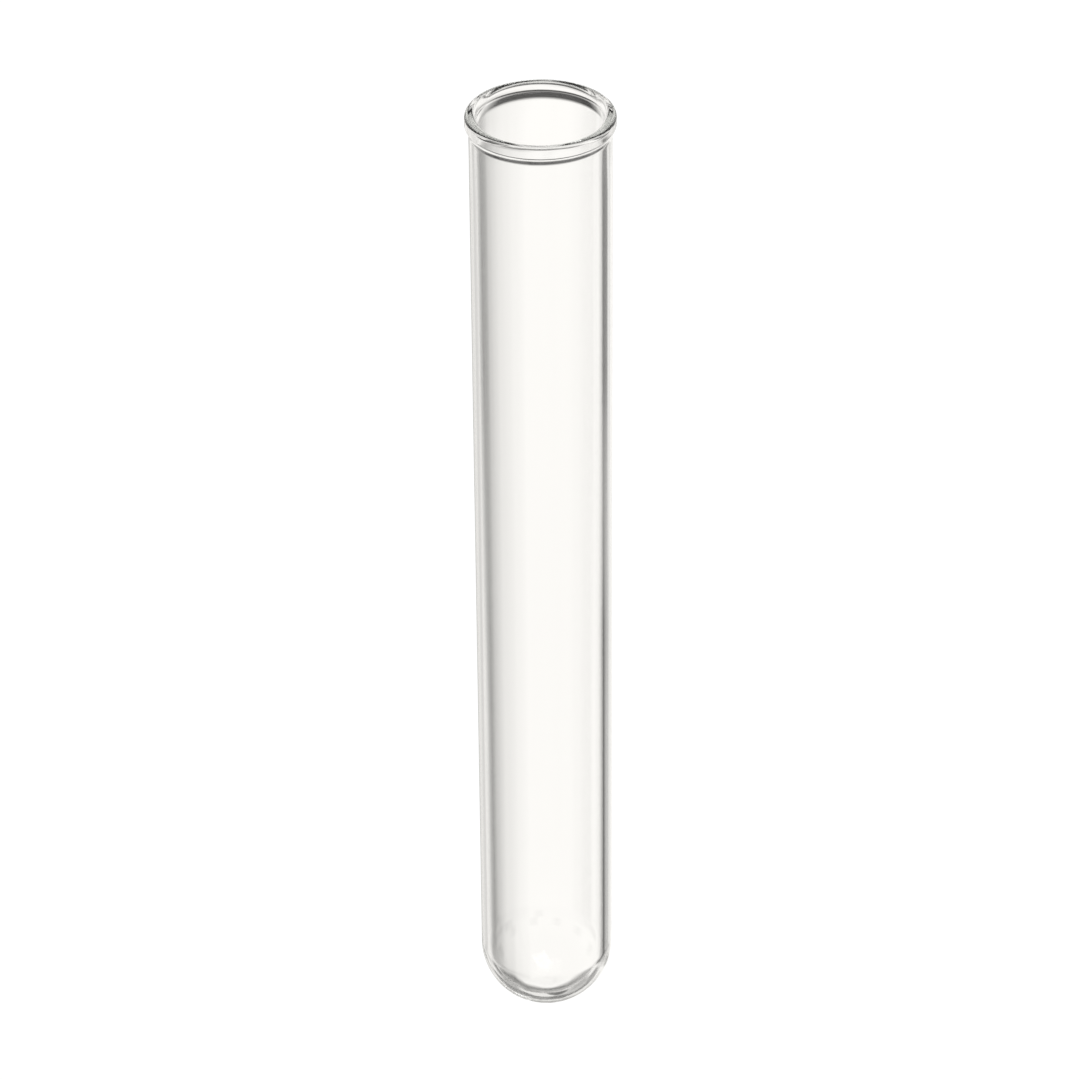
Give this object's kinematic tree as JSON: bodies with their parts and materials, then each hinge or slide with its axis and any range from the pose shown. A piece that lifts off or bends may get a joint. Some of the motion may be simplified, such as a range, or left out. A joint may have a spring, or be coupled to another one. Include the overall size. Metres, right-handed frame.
{
  "type": "test tube",
  "caption": "Clear glass test tube with a hemispherical closed bottom, a straight thin-walled body and a rolled rim round its open mouth.",
  "frame": {"origin": "on the tube's axis at the lowest outer point of the round bottom, where it sits in the dimple of a rack", "axes": "+Z along the tube's axis, from the round bottom up to the open mouth; X and Y are any two directions across it"},
  "size_m": [0.0208, 0.0208, 0.151],
  "materials": {
    "borosilicate_glass": "clear, colourless, fire-polished"
  },
  "bodies": {
    "root": {"glass_tube": "borosilicate_glass"}
  },
  "joints": []
}
